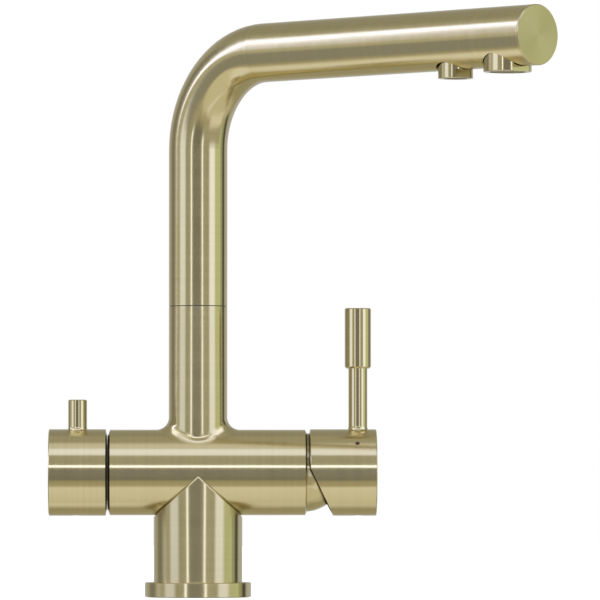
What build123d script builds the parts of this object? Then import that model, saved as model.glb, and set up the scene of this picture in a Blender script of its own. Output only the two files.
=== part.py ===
from build123d import *
from math import cos, radians, sin, sqrt, tan
import os

os.makedirs("parts", exist_ok=True)

# A three-way kitchen tap. The side lever mixes hot and cold water, the knob opposite opens the filtered
# water, and one swivelling spout carries both to separate outlets.
# Sizes are in millimetres. +Z is up, the crossbar lies along X and the user stands at -Y.
# The origin is on the swivel axis, at the underside of the base.

# ---------------------------------------------------------------- fits
press_gap = 0.05  # radial, between pieces fixed in one another
running_gap = 0.05  # radial, a shaft or a seal in the bore that it turns in
thread_gap = 0.1  # radial, between a male thread and its bore
free_gap = 0.3  # between pieces that pass without touching
drill_overrun = 0.6  # a waterway's drilling passes this far beyond the one that it meets

# ---------------------------------------------------------------- base and column
flange_diameter = 51.0
flange_top = 7.1
flange_rim_lift = 0.2  # the gasket stands this far proud of the flange
flange_edge_break = 0.3
gasket_inset = 1.3  # gasket's edge inside the flange's
gasket_thickness = 1.5
column_diameter = 42.5
foot_step = 2.05  # the column's foot, inside the flange, is this much smaller all round
foot_wall = 2.2
column_roof_slope = 42.6  # the column's top falls away from its ridge at this angle
column_ridge_drop = 1.8  # ridge below the crossbar's axis
column_ridge_round = 0.6

# ---------------------------------------------------------------- inlets in the column
inlet_thread_bore = 8.92  # M10 x 1
inlet_thread_depth = 11.5
inlet_thread_floor = 0.7  # from the threads' ends to the underside of the crossbar
inlet_ring_radius = 10.5  # every inlet lies this far from the swivel axis
inlet_spacing = 16.4  # hot to cold, along Y
inlet_channel_bore = 6.0
stud_thread_bore = 6.8  # M8

# ---------------------------------------------------------------- crossbar
bar_height = 59.7
bar_diameter = 41.0
bar_left = -43.0
bar_right = 52.0
bar_left_chamfer_length = 0.8
bar_left_chamfer_depth = 2.1
bar_right_chamfer_length = 0.7
bar_right_chamfer_depth = 1.5

# ---------------------------------------------------------------- riser and swivel
riser_diameter = 28.0
riser_root_fillet = 6.0
swivel_floor_rise = 36.3  # floor of the swivel's bore above the crossbar's axis
swivel_depth = 43.2  # from that floor up to the riser's top
thrust_ring_thickness = 0.4
riser_bore = 22.6
spigot_gap = 0.4  # around the spigot, in the riser's bore
spigot_floor_gap = 4.0
spigot_bore = 14.0
spigot_plug_length = 13.4
glide_ring_length = 4.8
glide_ring_wall = 0.9
upper_glide_ring_drop = 3.8  # its upper edge, below the riser's top
lower_glide_ring_rise = 1.5  # its lower edge, above the spigot's
spigot_seal_section = 2.1
spigot_seal_drops = (19.6, 24.6)  # below the riser's top
retainer_drop = 13.2
retainer_groove_diameter = 17.6
retainer_thread = 4.0
retainer_nose_diameter = 3.0
retainer_nose_gap = 0.4  # from the nose's tip to the groove's floor
retainer_sunk = 0.4

# ---------------------------------------------------------------- spout
spout_height = 259.2
spout_reach = 217.9
spout_turn = 44.8  # from +X towards the user
spout_wall = 1.5
spout_bend_radius = 44.5
end_cap_thickness = 1.2
end_cap_plug_length = 4.5
end_cap_edge_break = 0.35

# ---------------------------------------------------------------- main outlet
main_outlet_setback = 18.6  # from the spout's end
main_collar_diameter = 22.1
main_collar_drop = 16.3  # its lower edge, below the spout's axis
main_collar_height = 8.7
main_collar_round = 0.4
main_flat_depth = 1.0
main_flat_height = 5.5
main_flat_turn = 10.1  # key flats, from the spout's direction towards the user's left
main_thread_diameter = 16.6
main_thread_length = 4.1
main_thread_bore = 13.6
main_hole_gap = 0.35
main_boss_diameter = 23.2
main_boss_height = 6.0
main_insert_diameter = 16.8
main_insert_height = 5.4
main_insert_lift = 1.1  # from the collar's lower edge
main_washer_thickness = 0.8
main_cell_pitch = 2.3
main_cell_diameter = 1.5
main_cell_rings = 4

# ---------------------------------------------------------------- filtered outlet
outlet_spacing = 32.2  # between the two outlets' axes
filtered_collar_diameter = 16.2
filtered_collar_drop = 17.9
filtered_collar_height = 7.9
filtered_collar_round = 0.3
filtered_flat_depth = 1.0
filtered_flat_height = 4.1
filtered_flat_turn = 19.3
filtered_thread_diameter = 12.2
filtered_thread_length = 3.2
filtered_hole_gap = 0.9
filtered_boss_diameter = 21.0
filtered_boss_height = 5.2
filtered_boss_opening = 10.4
filtered_insert_diameter = 11.0
filtered_insert_height = 4.6
filtered_insert_lift = 0.9
filtered_washer_thickness = 0.8
filtered_throat_bore = 6.4
filtered_cell_pitch = 3.4
filtered_cell_diameter = 2.4
filtered_cell_rings = 2

# ---------------------------------------------------------------- filtered water's own tube
inner_tube_diameter = 8.0
inner_tube_bore = 5.0
inner_tube_sink = 8.0  # its lower end, below the floor of the swivel's bore
inner_tube_elbow_radius = 5.5
inner_tube_seat_depth = 2.5  # length held in the filtered outlet's stem
nipple_socket_bore = 8.8
nipple_socket_depth = 18.0
nipple_well_bore = 4.4  # from the gallery up to the socket
nipple_floor_gap = 0.5
nipple_gap = 0.15
nipple_barb_length = 8.0
nipple_bore = 3.2
nipple_seal_section = 1.2
nipple_seal_rises = (2.2, 5.2)  # above the nipple's lower end

# ---------------------------------------------------------------- mixer cartridge, inside the crossbar
cartridge_diameter = 30.2
cartridge_pocket_gap = 0.2
port_seal_proud = 0.1
port_seal_thickness = 1.6
port_seal_width = 1.3
cartridge_port_bore = 6.0
cartridge_port_drop = 4.0  # hot and cold ports below the crossbar's axis
cartridge_outlet_rise = 7.5  # mixed water's port above it
mixed_riser_bore = 5.0
cartridge_base_thickness = 4.4
fixed_disc_thickness = 4.0
moving_disc_thickness = 4.0
moving_disc_inset = 0.2  # moving disc's edge inside its carrier's
carrier_thickness = 4.3
carrier_gap = 0.2
carrier_tongue_width = 16.0
carrier_tongue_length = 7.0
carrier_tongue_height = 1.6
carrier_hub_diameter = 7.4
carrier_hub_length = 4.8
case_wall = 2.1
case_lip_thickness = 4.7
rotor_flange_thickness = 3.0
rotor_neck_diameter = 21.2
rotor_nose = 6.0  # beyond the lever's pivot
disc_port_bore = 5.2
mixing_pocket_diameter = 12.0
mixing_pocket_depth = 2.4
nut_length = 6.0
nut_sunk = 2.0
nut_thread_height = 1.7  # the nut's thread stands this much outside the cartridge
nut_thread_runout = 3.0
nut_bore = 22.8
nut_slot_width = 3.0
nut_slot_depth = 2.5
nut_slots = 4

# ---------------------------------------------------------------- lever pivot and dome
pivot_sunk = 1.0  # the pivot lies this far inside the crossbar's end
lever_lift = 25.0  # travel of the lever from closed to full flow
stem_pin_diameter = 3.0
stem_pin_cover = 1.1  # rotor's wall over each end of the pin
stem_arm_diameter = 3.4
stem_ball_diameter = 5.0
stem_ball_gap = 0.2
stem_ball_standoff = 2.8  # the ball's centre, in front of the disc carrier
stem_waist_width = 6.0
stem_waist_height = 8.0
stem_square = 8.0
dome_radius = 18.8
dome_wall = 1.2
dome_opening_diameter = 27.0
dome_skirt_gap = 0.2
dome_skirt_wall = 1.2
dome_seat_gap = 0.05

# ---------------------------------------------------------------- mixer handle and lever
handle_gap = 1.6  # between the crossbar's end and the handle
handle_wall = 1.45
handle_cavity_gap = 0.5  # between the dome and the handle around it
handle_cavity_floor_gap = 1.7
handle_cut_top = 2.0  # where the slanting cut starts, above the crossbar's axis
handle_cut_slope = 26.4  # from the vertical
handle_edge_break = 0.35
handle_socket_depth = 9.0
handle_socket_gap = 0.1
handle_end_wall = 5.0
lever_setback = 8.8  # the rod's axis, from the handle's outer end
grip_length = 28.9
grip_rise = 49.9  # the grip's lower end above the crossbar's axis
grip_diameter = 12.6
grip_bottom_chamfer = 0.8
grip_top_chamfer = 0.4
grip_top_wall = 4.4
rod_diameter = 9.0
rod_spigot_diameter = 7.0
rod_foot_diameter = 11.0
rod_foot_flare = 1.3
rod_seat_depth = 0.75
rod_stud_diameter = 6.0
rod_stud_length = 11.0
grub_thread = 5.0
grub_socket = 2.5  # across flats
grub_socket_depth = 2.5
handle_grub_length = 12.0
mark_angle = 48.0  # red and blue marks, either side of the lever
mark_setback = 0.6  # towards the crossbar from the lever's axis
mark_diameter = 2.0
mark_depth = 1.2
mark_proud = 0.05

# ---------------------------------------------------------------- filter valve
valve_depth = 19.8  # from the crossbar's left end to the valve's seat
valve_seat_bore = 7.0
valve_port_bore = 4.4
valve_gallery_bore = 5.0
valve_gallery_wall = 0.9  # between the valve's bore and the gallery above it
seat_seal_thickness = 1.3
seat_seal_bore = 12.0
valve_disc_thickness = 3.0
valve_disc_gap = 0.2
valve_disc_port_offset = 3.7
valve_disc_port_bore = 4.4
headwork_bore = 17.0
headwork_wall = 0.9
headwork_thread_height = 0.9
headwork_floor_gap = 1.1
headwork_waist_run = 0.8  # waist beyond the chamber that holds the discs
headwork_window_width = 5.0
headwork_flange_diameter = 25.2
headwork_flange_thickness = 1.15
headwork_hex = 19.0
headwork_hex_length = 5.5
headwork_neck_diameter = 13.0
headwork_neck_length = 2.5
headwork_seal_section = 1.6
spindle_diameter = 8.0
spindle_flange_thickness = 3.0
spindle_end_gap = 0.2
spindle_grip_length = 9.4  # length that the knob holds
spindle_spline_length = 8.0
spindle_spline_teeth = 20
spindle_spline_depth = 0.35
spindle_seal_section = 1.3
spindle_seal_steps = (4.0, 8.0)  # beyond the chamber that holds the discs
circlip_thickness = 0.8
circlip_height = 1.7  # outside the spindle
circlip_groove_depth = 0.7

# ---------------------------------------------------------------- filter knob and pin
knob_diameter = 41.5
knob_gap = 0.7  # between the crossbar's end and the knob
knob_length = 27.85
knob_chamfer_length = 0.6
knob_chamfer_depth = 2.5
slip_ring_setback = 0.5  # below the foot of the crossbar's chamfer
knob_edge_break = 0.35
knob_cavity_gap = 0.9  # around the headwork's flange
knob_cavity_floor_gap = 0.5
knob_grub_length = 12.0
pin_setback = 13.8  # from the knob's outer end
pin_diameter = 9.0
pin_foot_diameter = 10.4
pin_foot_flare = 1.1
pin_rise = 34.85  # the pin's top above the crossbar's axis
pin_edge_chamfer = 0.4
pin_seat_depth = 0.7
pin_stud_diameter = 6.0
pin_stud_length = 8.0

# ---------------------------------------------------------------- worked out: radii
bar_radius = bar_diameter / 2
column_radius = column_diameter / 2
foot_radius = column_radius - foot_step
hose_recess_radius = foot_radius - foot_wall
riser_radius = riser_diameter / 2
swivel_bore_radius = riser_bore / 2
spigot_radius = swivel_bore_radius - spigot_gap
knob_radius = knob_diameter / 2
pocket_radius = cartridge_diameter / 2 + cartridge_pocket_gap
nut_thread_radius = cartridge_diameter / 2 + nut_thread_height
tube_bore_radius = riser_radius - spout_wall
tube_fit_radius = tube_bore_radius - press_gap
handle_cavity_radius = dome_radius + handle_cavity_gap
handle_radius = handle_cavity_radius + handle_wall
spindle_bore_radius = spindle_diameter / 2 + running_gap
headwork_waist_radius = headwork_bore / 2 + headwork_wall
valve_thread_radius = headwork_waist_radius + headwork_thread_height
valve_bore_radius = valve_thread_radius + thread_gap

# ---------------------------------------------------------------- worked out: heights
recess_roof = bar_height - bar_radius - inlet_thread_floor - inlet_thread_depth
inlet_thread_end = recess_roof + inlet_thread_depth
swivel_floor = bar_height + swivel_floor_rise
riser_top = swivel_floor + swivel_depth
tube_foot = riser_top + thrust_ring_thickness
spigot_bottom = swivel_floor + spigot_floor_gap
retainer_height = riser_top - retainer_drop
nipple_socket_bottom = swivel_floor - nipple_socket_depth
nipple_bottom = nipple_socket_bottom + nipple_floor_gap
inner_tube_bottom = swivel_floor - inner_tube_sink
channel_height = bar_height - cartridge_port_drop
mixed_height = bar_height + cartridge_outlet_rise
gallery_height = bar_height + valve_bore_radius + valve_gallery_wall + valve_gallery_bore / 2

# ---------------------------------------------------------------- worked out: places along the crossbar
inlet_y = inlet_spacing / 2
inlet_x = sqrt(inlet_ring_radius**2 - inlet_y**2)
mixed_riser_offset = (nipple_socket_bore / 2 + swivel_bore_radius) / 2
nut_front = bar_right - nut_sunk
case_front = nut_front - nut_length
rotor_back = case_front - case_lip_thickness - free_gap - rotor_flange_thickness
carrier_face = rotor_back - carrier_gap
moving_disc_face = carrier_face - carrier_thickness
fixed_disc_face = moving_disc_face - moving_disc_thickness
cartridge_base_face = fixed_disc_face - fixed_disc_thickness
cartridge_base_back = cartridge_base_face - cartridge_base_thickness
pocket_floor = cartridge_base_back - port_seal_proud
pivot_x = bar_right - pivot_sunk
rotor_front = pivot_x + rotor_nose
handle_left = bar_right + handle_gap
handle_cavity_end = pivot_x + dome_radius + handle_cavity_floor_gap
handle_socket_end = handle_cavity_end + handle_socket_depth
handle_right = handle_socket_end + handle_end_wall
lever_x = handle_right - lever_setback
valve_floor = bar_left + valve_depth
knob_right = bar_left - knob_gap
knob_left = knob_right - knob_length
pin_x = knob_left + pin_setback

# ---------------------------------------------------------------- worked out: the lever's travel
lift = radians(lever_lift)
stem_arm_length = pivot_x - carrier_face - stem_ball_standoff
stem_arm_angle = lever_lift / 2  # the arm swings evenly either side of the crossbar's axis
stem_ball_drop = stem_arm_length * sin(radians(stem_arm_angle))
stem_square_reach = (rotor_front + free_gap - pivot_x + stem_square / 2 * sin(lift)) / cos(lift)
stem_square_start = pivot_x + stem_square_reach  # the square never tilts into the rotor
stem_end = handle_socket_end - free_gap

# ---------------------------------------------------------------- worked out: places along the spout
tube_end = spout_reach - end_cap_thickness
main_outlet_reach = spout_reach - main_outlet_setback
filtered_outlet_reach = main_outlet_reach - outlet_spacing
main_collar_bottom = spout_height - main_collar_drop
main_collar_top = main_collar_bottom + main_collar_height
filtered_collar_bottom = spout_height - filtered_collar_drop
filtered_collar_top = filtered_collar_bottom + filtered_collar_height

bar_axis = Axis((0, 0, bar_height), (1, 0, 0))
bar_plane = Plane(origin=(0, 0, bar_height), x_dir=(1, 0, 0), z_dir=(0, -1, 0))
spout_direction = (cos(radians(spout_turn)), -sin(radians(spout_turn)), 0)
spout_plane = Plane(
    origin=(0, 0, 0),
    x_dir=spout_direction,
    z_dir=(-sin(radians(spout_turn)), -cos(radians(spout_turn)), 0),
)


def bar_section(x):
    """The plane square to the crossbar at x, drawn on as (y, height above the axis)."""
    return Plane(origin=(x, 0, bar_height), x_dir=(0, 1, 0), z_dir=(1, 0, 0))


def above_bar(x):
    """The upright plane through the crossbar at x, drawn on as (radius, height above the axis)."""
    return Plane(origin=(x, 0, bar_height), x_dir=(1, 0, 0), z_dir=(0, -1, 0))


def upright(x, y=0):
    """The upright axis through (x, y)."""
    return Axis((x, y, 0), (0, 0, 1))


def outlet_place(reach):
    """X and Y of an outlet's axis, that far along the spout."""
    return (reach * spout_direction[0], reach * spout_direction[1])


def turned(corners, plane, axis, mode=Mode.ADD):
    """Turn a closed profile about an axis, as on a lathe."""
    with BuildSketch(plane) as profile:
        with BuildLine():
            Polyline(*corners, close=True)
        make_face()
    revolve(profile.sketch, axis=axis, mode=mode)


def drill(start, end, radius):
    """Cut a straight round hole from one point to another."""
    run = Vector(*end) - Vector(*start)
    with BuildSketch(Plane(origin=start, z_dir=run)) as hole:
        Circle(radius)
    extrude(hole.sketch, amount=run.length, mode=Mode.SUBTRACT)


def seal_ring(plane, axis, along, outer_radius, section):
    """An O-ring whose section's centre lies at `along`, reaching out to outer_radius."""
    with BuildSketch(plane) as ring:
        with Locations((along, outer_radius - section / 2)):
            Circle(section / 2)
    revolve(ring.sketch, axis=axis)


def grub_screw(plane, length, thread):
    """A socket-headed grub screw whose outer end lies on the plane and whose body runs below it."""
    with BuildSketch(plane) as body:
        Circle(thread / 2 - press_gap)
    extrude(body.sketch, amount=-length)
    with BuildSketch(plane) as socket:
        RegularPolygon(grub_socket / 2, 6, major_radius=False)
    extrude(socket.sketch, amount=-grub_socket_depth, mode=Mode.SUBTRACT)


# ================================================================ base
flange_radius = flange_diameter / 2
gasket_radius = flange_radius - gasket_inset
gasket_seat_radius = gasket_radius + press_gap

with BuildPart() as base_flange:
    turned(
        [
            (foot_radius + press_gap, gasket_thickness),
            (gasket_seat_radius, gasket_thickness),
            (gasket_seat_radius, flange_rim_lift),
            (flange_radius, flange_rim_lift),
            (flange_radius, flange_top - flange_edge_break),
            (flange_radius - flange_edge_break, flange_top),
            (foot_radius + press_gap, flange_top),
        ],
        Plane.XZ,
        Axis.Z,
    )

with BuildPart() as base_gasket:
    turned(
        [
            (hose_recess_radius, 0),
            (gasket_radius, 0),
            (gasket_radius, gasket_thickness),
            (hose_recess_radius, gasket_thickness),
        ],
        Plane.XZ,
        Axis.Z,
    )

# ================================================================ column under the crossbar
ridge_height = bar_height - column_ridge_drop
eaves_height = ridge_height - column_radius * tan(radians(column_roof_slope))
inlet_channel_radius = inlet_channel_bore / 2
inlet_places = ((inlet_x, inlet_y), (inlet_x, -inlet_y), (-inlet_ring_radius, 0))  # hot, cold, filtered

with BuildPart() as body_column:
    with BuildSketch(Plane.XY.offset(flange_top)):
        Circle(column_radius)
    extrude(amount=ridge_height - flange_top)
    with BuildSketch(Plane.XZ):
        with BuildLine():
            Polyline(
                (-column_radius, flange_top),
                (column_radius, flange_top),
                (column_radius, eaves_height),
                (0, ridge_height),
                (-column_radius, eaves_height),
                close=True,
            )
        make_face()
    extrude(amount=column_diameter, both=True, mode=Mode.INTERSECT)
    above_eaves = edges().filter_by(lambda e: e.center().Z > eaves_height)
    roof_edges = above_eaves.filter_by(lambda e: e.geom_type != GeomType.LINE)
    fillet(roof_edges, radius=column_ridge_round)
    with BuildSketch(Plane.XY.offset(gasket_thickness)):
        Circle(foot_radius)
    extrude(amount=flange_top - gasket_thickness)
    # the saddle that the crossbar is brazed into
    with BuildSketch(bar_section(-column_diameter)):
        Circle(bar_radius + press_gap)
    extrude(amount=2 * column_diameter, mode=Mode.SUBTRACT)
    # recess for the hoses, with the stud's thread and three inlets in its roof
    drill((0, 0, gasket_thickness), (0, 0, recess_roof), hose_recess_radius)
    drill((0, 0, recess_roof), (0, 0, inlet_thread_end), stud_thread_bore / 2)
    for x, y in inlet_places:
        drill((x, y, recess_roof), (x, y, inlet_thread_end), inlet_thread_bore / 2)
        drill((x, y, recess_roof), (x, y, bar_height), inlet_channel_radius)

# ================================================================ crossbar and riser, one casting
with BuildPart() as tap_body:
    turned(
        [
            (bar_left, 0),
            (bar_left, bar_radius - bar_left_chamfer_depth),
            (bar_left + bar_left_chamfer_length, bar_radius),
            (bar_right - bar_right_chamfer_length, bar_radius),
            (bar_right, bar_radius - bar_right_chamfer_depth),
            (bar_right, 0),
        ],
        bar_plane,
        bar_axis,
    )
    with BuildSketch(Plane.XY.offset(bar_height)):
        Circle(riser_radius)
    extrude(amount=riser_top - bar_height)
    riser_root = edges().filter_by(
        lambda e: bar_height < e.center().Z < bar_height + bar_radius and e.geom_type == GeomType.BSPLINE
    )
    fillet(riser_root, radius=riser_root_fillet)

    # hot and cold: up from their inlets, then along the bar to the cartridge pocket
    channel_top = channel_height + inlet_channel_radius + drill_overrun
    channel_start = inlet_x - inlet_channel_radius - drill_overrun
    for y in (inlet_y, -inlet_y):
        drill((inlet_x, y, inlet_thread_end), (inlet_x, y, channel_top), inlet_channel_radius)
        channel_end = (pocket_floor, y, channel_height)
        drill((channel_start, y, channel_height), channel_end, inlet_channel_radius)
    drill((pocket_floor, 0, bar_height), (bar_right, 0, bar_height), pocket_radius)
    nut_thread_start = (case_front - nut_thread_runout, 0, bar_height)
    drill(nut_thread_start, (bar_right, 0, bar_height), nut_thread_radius + thread_gap)

    # mixed water: back along the bar, then up into the riser
    mixed_radius = mixed_riser_bore / 2
    mixed_start = mixed_riser_offset - mixed_radius - drill_overrun
    mixed_low_end = mixed_height - mixed_radius - drill_overrun
    drill((mixed_start, 0, mixed_height), (pocket_floor, 0, mixed_height), mixed_radius)
    mixed_riser_start = (mixed_riser_offset, 0, mixed_low_end)
    drill(mixed_riser_start, (mixed_riser_offset, 0, swivel_floor), mixed_radius)
    drill((0, 0, swivel_floor), (0, 0, riser_top), swivel_bore_radius)

    # filtered water: up to the valve, through the gallery above it, and up to the socket of its own tube
    valve_way_start = -inlet_ring_radius + inlet_channel_radius + drill_overrun
    valve_way_top = (-inlet_ring_radius, 0, bar_height)
    drill((-inlet_ring_radius, 0, inlet_thread_end), valve_way_top, inlet_channel_radius)
    drill((valve_way_start, 0, bar_height), (valve_floor, 0, bar_height), valve_seat_bore / 2)
    drill((valve_floor, 0, bar_height), (bar_left, 0, bar_height), valve_bore_radius)
    gallery_radius = valve_gallery_bore / 2
    valve_port_x = valve_floor - seat_seal_thickness - 2 * valve_disc_thickness - spindle_flange_thickness / 2
    gallery_start = valve_port_x - valve_port_bore / 2 - drill_overrun
    gallery_end = nipple_well_bore / 2 + drill_overrun
    drill((valve_port_x, 0, bar_height), (valve_port_x, 0, gallery_height), valve_port_bore / 2)
    drill((gallery_start, 0, gallery_height), (gallery_end, 0, gallery_height), gallery_radius)
    drill((0, 0, gallery_height), (0, 0, nipple_socket_bottom), nipple_well_bore / 2)
    drill((0, 0, nipple_socket_bottom), (0, 0, swivel_floor), nipple_socket_bore / 2)

    # thread for the spout's retaining screw, at the back of the riser
    drill((0, 0, retainer_height), (0, riser_radius, retainer_height), retainer_thread / 2)

# ================================================================ swivel: fixed pieces
with BuildPart() as thrust_ring:
    with BuildSketch(Plane.XY.offset(riser_top)):
        Circle(riser_radius - free_gap)
        Circle(swivel_bore_radius, mode=Mode.SUBTRACT)
    extrude(amount=thrust_ring_thickness)

retainer_head = riser_radius - retainer_sunk
retainer_shoulder = swivel_bore_radius + thread_gap
retainer_nose_tip = retainer_groove_diameter / 2 + retainer_nose_gap
retainer_plane = Plane(origin=(0, retainer_head, retainer_height), z_dir=(0, 1, 0))

with BuildPart() as spout_retaining_screw:
    with BuildSketch(retainer_plane):
        Circle(retainer_thread / 2 - press_gap)
    extrude(amount=retainer_shoulder - retainer_head)
    with BuildSketch(retainer_plane):
        Circle(retainer_nose_diameter / 2)
    extrude(amount=retainer_nose_tip - retainer_head)
    with BuildSketch(retainer_plane):
        RegularPolygon(grub_socket / 2, 6, major_radius=False)
    extrude(amount=-(retainer_head - retainer_shoulder) / 2, mode=Mode.SUBTRACT)

# ================================================================ mixer cartridge: fixed pieces
case_outer = cartridge_diameter / 2
case_inner = case_outer - case_wall
disc_radius = case_inner - free_gap
carrier_radius = disc_radius - stem_ball_drop
rotor_neck_radius = rotor_neck_diameter / 2
port_places = (
    (inlet_y, -cartridge_port_drop),
    (-inlet_y, -cartridge_port_drop),
    (0, cartridge_outlet_rise),
)
port_seal_radius = cartridge_port_bore / 2 + port_seal_width

with BuildPart() as cartridge_port_seals:
    with BuildSketch(bar_section(pocket_floor)):
        with Locations(*port_places):
            Circle(port_seal_radius)
            Circle(cartridge_port_bore / 2, mode=Mode.SUBTRACT)
    extrude(amount=port_seal_thickness)

with BuildPart() as cartridge_base:
    with BuildSketch(bar_section(cartridge_base_back)):
        Circle(case_outer)
        with Locations(*port_places):
            Circle(cartridge_port_bore / 2, mode=Mode.SUBTRACT)
    extrude(amount=cartridge_base_thickness)
    with BuildSketch(bar_section(cartridge_base_back)):
        with Locations(*port_places):
            Circle(port_seal_radius + press_gap)
    extrude(amount=port_seal_thickness - port_seal_proud, mode=Mode.SUBTRACT)

with BuildPart() as cartridge_fixed_disc:
    with BuildSketch(bar_section(cartridge_base_face)):
        Circle(disc_radius)
        with Locations(*port_places):
            Circle(disc_port_bore / 2, mode=Mode.SUBTRACT)
    extrude(amount=fixed_disc_thickness)

with BuildPart() as cartridge_case:
    rotor_flange_front = rotor_back + rotor_flange_thickness
    turned(
        [
            (cartridge_base_face, case_inner),
            (cartridge_base_face, case_outer),
            (case_front, case_outer),
            (case_front, rotor_neck_radius + free_gap),
            (rotor_flange_front + free_gap, rotor_neck_radius + free_gap),
            (rotor_flange_front + free_gap, case_inner),
        ],
        bar_plane,
        bar_axis,
    )

with BuildPart() as cartridge_nut:
    with BuildSketch(bar_section(case_front)):
        Circle(nut_thread_radius)
        Circle(nut_bore / 2, mode=Mode.SUBTRACT)
    extrude(amount=nut_front - case_front)
    with BuildSketch(bar_section(nut_front)):
        with PolarLocations(nut_bore / 2, nut_slots):
            Rectangle(2 * nut_slot_depth, nut_slot_width)
    extrude(amount=-nut_slot_depth, mode=Mode.SUBTRACT)

dome_seat = bar_right + dome_seat_gap
dome_skirt_radius = nut_thread_radius - dome_skirt_gap
dome_skirt_inner = dome_skirt_radius - dome_skirt_wall
dome_mid_radius = dome_radius - dome_wall / 2

with BuildPart() as dome_cover:
    with BuildSketch(bar_plane):
        with Locations((pivot_x, 0)):
            Circle(dome_radius)
            Circle(dome_radius - dome_wall, mode=Mode.SUBTRACT)
        with Locations((dome_seat, dome_opening_diameter / 2)):
            Rectangle(dome_radius, dome_radius, align=(Align.MIN, Align.MIN), mode=Mode.INTERSECT)
    revolve(axis=bar_axis)
    turned(
        [
            (nut_front + thread_gap, dome_skirt_inner),
            (dome_seat + dome_skirt_wall, dome_skirt_inner),
            (dome_seat + dome_skirt_wall, dome_mid_radius),
            (dome_seat, dome_mid_radius),
            (dome_seat, dome_skirt_radius),
            (nut_front + thread_gap, dome_skirt_radius),
        ],
        bar_plane,
        bar_axis,
    )

# ================================================================ mixer cartridge: turning pieces
stem_pin_half = rotor_neck_radius - stem_pin_cover
hub_travel = stem_ball_drop + carrier_hub_diameter / 2 + free_gap
waist_sweep = (rotor_front - pivot_x) * tan(lift) + stem_waist_height / 2 / cos(lift) + free_gap

with BuildPart() as cartridge_rotor:
    turned(
        [
            (rotor_back, 0),
            (rotor_back, disc_radius),
            (rotor_back + rotor_flange_thickness, disc_radius),
            (rotor_back + rotor_flange_thickness, rotor_neck_radius),
            (rotor_front, rotor_neck_radius),
            (rotor_front, 0),
        ],
        bar_plane,
        bar_axis,
    )
    # groove that drives the disc carrier and lets it slide
    with BuildSketch(bar_section(rotor_back)):
        Rectangle(carrier_tongue_width + 2 * stem_ball_gap, 2 * disc_radius)
    extrude(amount=carrier_tongue_height, mode=Mode.SUBTRACT)
    # room for the carrier's hub and for the stem's arm inside it
    with BuildSketch(bar_section(rotor_back)):
        Rectangle(carrier_hub_diameter + 2 * free_gap, 2 * hub_travel)
    extrude(amount=carrier_face + carrier_hub_length + free_gap - rotor_back, mode=Mode.SUBTRACT)
    # slot that the stem tilts in
    with BuildSketch(bar_section(rotor_back)):
        Rectangle(stem_waist_width + 2 * stem_ball_gap, 2 * waist_sweep)
    extrude(amount=rotor_front - rotor_back, mode=Mode.SUBTRACT)
    pin_start = (pivot_x, -stem_pin_half, bar_height)
    pin_end = (pivot_x, stem_pin_half, bar_height)
    drill(pin_start, pin_end, stem_pin_diameter / 2)

with BuildPart() as stem_pin:
    with BuildSketch(Plane(origin=(pivot_x, 0, bar_height), z_dir=(0, 1, 0))):
        Circle(stem_pin_diameter / 2)
    extrude(amount=stem_pin_half, both=True)

# ================================================================ mixer cartridge: sliding pieces
with BuildPart() as cartridge_moving_disc:
    with BuildSketch(bar_section(fixed_disc_face)):
        with Locations((0, -stem_ball_drop)):
            Circle(carrier_radius - moving_disc_inset)
    extrude(amount=moving_disc_thickness)
    with BuildSketch(bar_section(fixed_disc_face)):
        with Locations((0, -stem_ball_drop)):
            Circle(mixing_pocket_diameter / 2)
    extrude(amount=mixing_pocket_depth, mode=Mode.SUBTRACT)

with BuildPart() as cartridge_disc_carrier:
    with BuildSketch(bar_section(moving_disc_face)):
        with Locations((0, -stem_ball_drop)):
            Circle(carrier_radius)
    extrude(amount=carrier_thickness)
    with BuildSketch(bar_section(carrier_face)):
        with Locations((0, -stem_ball_drop)):
            Rectangle(carrier_tongue_width, carrier_tongue_length)
    extrude(amount=carrier_tongue_height - carrier_gap)
    with BuildSketch(bar_section(carrier_face)):
        with Locations((0, -stem_ball_drop)):
            Circle(carrier_hub_diameter / 2)
    extrude(amount=carrier_hub_length)
    socket_floor = pivot_x - stem_arm_length - stem_ball_diameter / 2 - free_gap
    with BuildSketch(bar_section(socket_floor)):
        with Locations((0, -stem_ball_drop)):
            Circle(stem_ball_diameter / 2 + stem_ball_gap)
    extrude(amount=carrier_face + carrier_hub_length - socket_floor, mode=Mode.SUBTRACT)

# ================================================================ lever: stem, handle and rod
arm_direction = Vector(-cos(radians(stem_arm_angle)), 0, -sin(radians(stem_arm_angle)))
pivot_point = Vector(pivot_x, 0, bar_height)
ball_centre = pivot_point + arm_direction * stem_arm_length
waist_back = pivot_x - stem_waist_height / 2

with BuildPart() as cartridge_stem:
    with BuildSketch(bar_section(waist_back)):
        Rectangle(stem_waist_width, stem_waist_height)
    extrude(amount=stem_square_start - waist_back)
    with BuildSketch(bar_section(stem_square_start)):
        Rectangle(stem_square, stem_square)
    extrude(amount=stem_end - stem_square_start)
    # the waist's inner end is rounded about the pivot
    with BuildSketch(bar_plane):
        with Locations((pivot_x, 0)):
            Circle(stem_waist_height / 2)
        with Locations((pivot_x, 0)):
            Rectangle(stem_end, stem_end, align=(Align.MIN, Align.CENTER))
    extrude(amount=stem_square, both=True, mode=Mode.INTERSECT)
    with BuildSketch(Plane(origin=pivot_point, z_dir=arm_direction)):
        Circle(stem_arm_diameter / 2)
    extrude(amount=stem_arm_length)
    with Locations(ball_centre):
        Sphere(stem_ball_diameter / 2)
    pin_bore_radius = stem_pin_diameter / 2 + running_gap
    drill((pivot_x, -stem_square, bar_height), (pivot_x, stem_square, bar_height), pin_bore_radius)

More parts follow.
